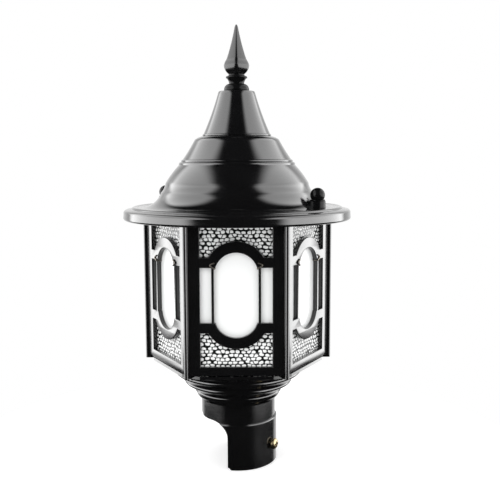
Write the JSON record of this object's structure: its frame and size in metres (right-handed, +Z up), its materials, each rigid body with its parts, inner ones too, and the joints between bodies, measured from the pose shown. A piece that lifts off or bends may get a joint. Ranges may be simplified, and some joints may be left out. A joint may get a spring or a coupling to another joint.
{
  "type": "post top lantern",
  "caption": "Hexagonal post top lantern with oval tracery windows, a flared tiered roof with a spear finial, a stepped bowl and a slip-over post socket.",
  "frame": {"origin": "centre of the post socket's mouth", "axes": "+Z up the post; one window faces -Y, the front, and the corner posts stand at 0, 60 and 120 degrees from +X and opposite"},
  "size_m": [0.2408, 0.2408, 0.4662],
  "materials": {
    "cast_black": "gloss black paint over cast aluminium",
    "roof_black": "gloss black paint over spun and turned aluminium",
    "pane_opal": "opal white, pebbled outside the oval",
    "zinc_steel": "zinc plated",
    "spring_wire": "bare bright wire",
    "clamp_brass": "dull brass",
    "contact_brass": "bright brass",
    "grommet_rubber": "matte",
    "holder_white": "white phenolic moulding",
    "terminal_cream": "semi-gloss moulding",
    "lead_brown": "insulated wire",
    "lead_blue": "insulated wire",
    "bulb_clear": "clear",
    "bulb_alloy": "rolled thread",
    "bulb_insulator": "black insulator with a soldered tip"
  },
  "bodies": {
    "base": {"post_socket": "cast_black", "base_bowl": "cast_black", "wire_grommet": "grommet_rubber", "bowl_screws": "zinc_steel", "base_plate": "cast_black", "plate_screws": "zinc_steel", "post_screws": "zinc_steel", "window_frame_1": "cast_black", "window_frame_2": "cast_black", "window_frame_3": "cast_black", "window_frame_4": "cast_black", "window_frame_5": "cast_black", "window_frame_6": "cast_black", "corner_post_1": "cast_black", "corner_post_2": "cast_black", "corner_post_3": "cast_black", "corner_post_4": "cast_black", "corner_post_5": "cast_black", "corner_post_6": "cast_black", "glass_pane_1": "pane_opal", "glass_pane_2": "pane_opal", "glass_pane_3": "pane_opal", "glass_pane_4": "pane_opal", "glass_pane_5": "pane_opal", "glass_pane_6": "pane_opal", "pane_clips": "spring_wire", "top_ring": "cast_black", "ring_screws": "zinc_steel", "roof_studs": "zinc_steel", "lamp_bracket": "zinc_steel", "bracket_screws": "zinc_steel", "lamp_holder": "holder_white", "holder_screws": "zinc_steel", "holder_sleeve": "contact_brass", "centre_contact": "contact_brass", "terminal_block": "terminal_cream", "terminal_screws": "contact_brass", "earth_screw": "contact_brass", "lead_live": "lead_brown", "lead_neutral": "lead_blue"},
    "roof": {"roof_shell": "roof_black", "roof_washers": "roof_black", "finial_flange": "roof_black", "finial_cup": "roof_black", "finial_spear": "roof_black", "finial_washer": "zinc_steel", "finial_nut": "zinc_steel"},
    "nut_right": {"ball_nut_right": "roof_black"},
    "nut_left": {"ball_nut_left": "roof_black"},
    "clamp_front": {"clamp_screw_front": "clamp_brass"},
    "clamp_back": {"clamp_screw_back": "clamp_brass"},
    "bulb": {"bulb_glass": "bulb_clear", "bulb_cap": "bulb_alloy", "bulb_tip": "bulb_insulator"}
  },
  "joints": [
    {"name": "roof_lift", "type": "slide", "parent": "base", "child": "roof", "axis": [0, 0, 1], "range_m": [0, 0.06]},
    {"name": "nut_right_turn", "type": "hinge", "parent": "roof", "child": "nut_right", "pos_m": [0.08141, -0.047, 0.2912], "axis": [0, 0, 1], "continuous": true},
    {"name": "nut_left_turn", "type": "hinge", "parent": "roof", "child": "nut_left", "pos_m": [-0.08141, 0.047, 0.2912], "axis": [0, 0, 1], "continuous": true},
    {"name": "clamp_front_drive", "type": "slide", "parent": "base", "child": "clamp_front", "axis": [-0.866, 0.5, 0], "range_m": [-0.006, 0.0015]},
    {"name": "clamp_back_drive", "type": "slide", "parent": "base", "child": "clamp_back", "axis": [0, -1, 0], "range_m": [-0.006, 0.0015]},
    {"name": "bulb_unscrew", "type": "slide", "parent": "base", "child": "bulb", "axis": [0, 0, 1], "range_m": [0, 0.028]}
  ]
}
